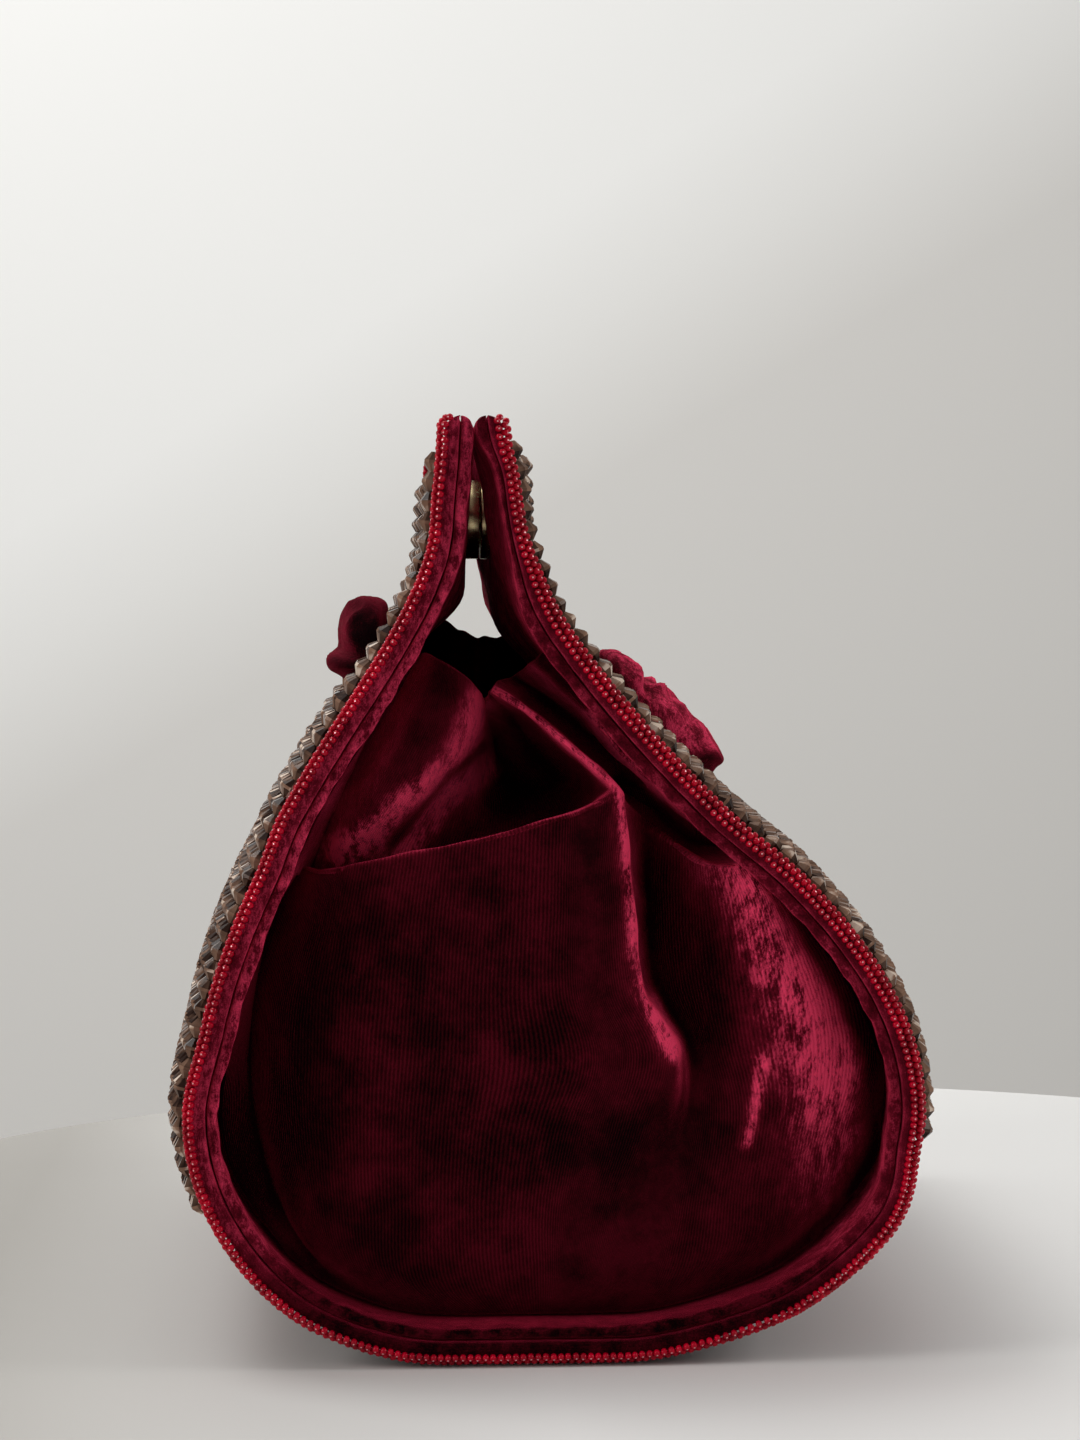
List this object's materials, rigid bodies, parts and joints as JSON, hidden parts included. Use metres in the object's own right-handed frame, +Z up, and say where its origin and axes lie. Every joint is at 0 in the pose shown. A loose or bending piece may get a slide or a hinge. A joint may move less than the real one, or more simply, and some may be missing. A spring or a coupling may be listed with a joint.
{
  "type": "beaded velvet potli bag",
  "caption": "Teardrop velvet evening bag with crystal-beaded faces, folded velvet ends, a magnetic snap and a soft bow on each face.",
  "frame": {"origin": "bottom centre of the whole bag, on the flat of its base", "axes": "+Z up to the mouth, +Y along the width from the right end to the left end, -X the front face and +X the back face"},
  "size_m": [0.1598, 0.1992, 0.189],
  "materials": {
    "velvet": "matte",
    "lining_velvet": "matte",
    "gusset_velvet": "matte",
    "bow_velvet": "matte",
    "smoky_crystal": "gloss",
    "red_glass": "gloss",
    "gold": "polished",
    "steel": "satin"
  },
  "bodies": {
    "root": {"outer_shell": "velvet", "lining": "lining_velvet", "right_gusset": "gusset_velvet", "left_gusset": "gusset_velvet", "front_crystals": "smoky_crystal", "back_crystals": "smoky_crystal", "right_seed_border": "red_glass", "left_seed_border": "red_glass", "front_bow_loops": "bow_velvet", "front_bow_knot": "bow_velvet", "back_bow_loops": "bow_velvet", "back_bow_knot": "bow_velvet", "snap_socket": "gold", "snap_stud": "gold", "socket_washer": "steel", "stud_washer": "steel"}
  },
  "joints": []
}
